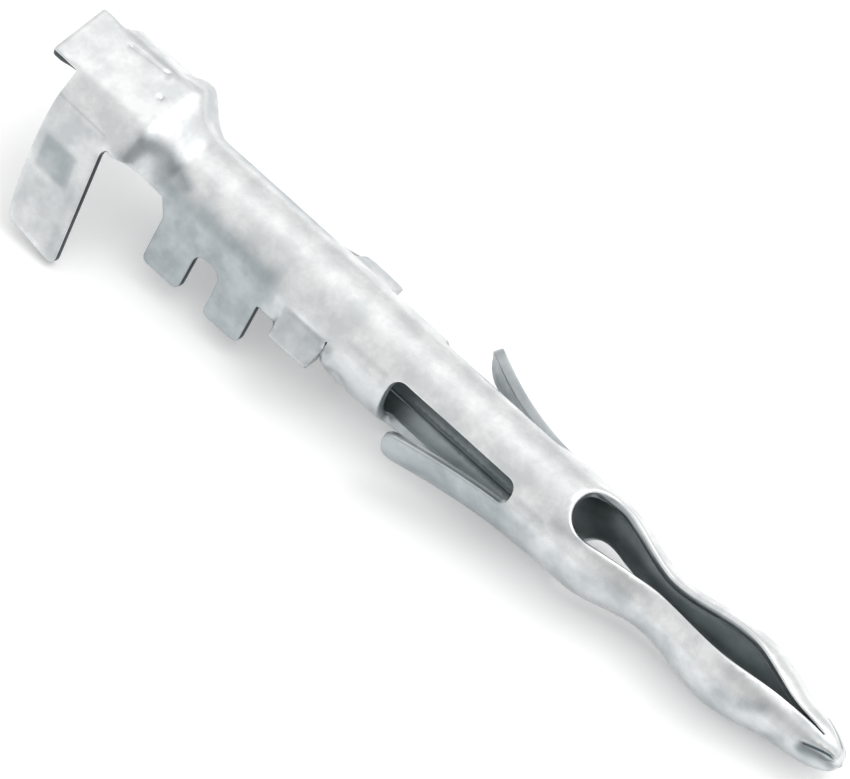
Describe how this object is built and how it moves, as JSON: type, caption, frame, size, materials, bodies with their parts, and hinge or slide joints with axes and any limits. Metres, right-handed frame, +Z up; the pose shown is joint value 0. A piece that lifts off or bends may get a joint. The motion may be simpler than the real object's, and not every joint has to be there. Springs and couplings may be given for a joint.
{
  "type": "crimp pin contact",
  "caption": "Folded sheet-metal crimp pin contact: open insulation and conductor barrels, rolled tube with spread locking lances, and a split spring pin with a closed nose.",
  "frame": {"origin": "centre of the bounding box in plan, on the surface that the contact lies on", "axes": "+X from the wire end towards the pin's nose, +Z up from the surface, the rolled back of the contact upwards; the pin falls by about 2.9 degrees towards its nose"},
  "size_m": [0.025, 0.0064, 0.0038],
  "materials": {
    "tinned_brass": "bright tin plate over brass strip"
  },
  "bodies": {
    "root": {"pin_contact": "tinned_brass"}
  },
  "joints": []
}
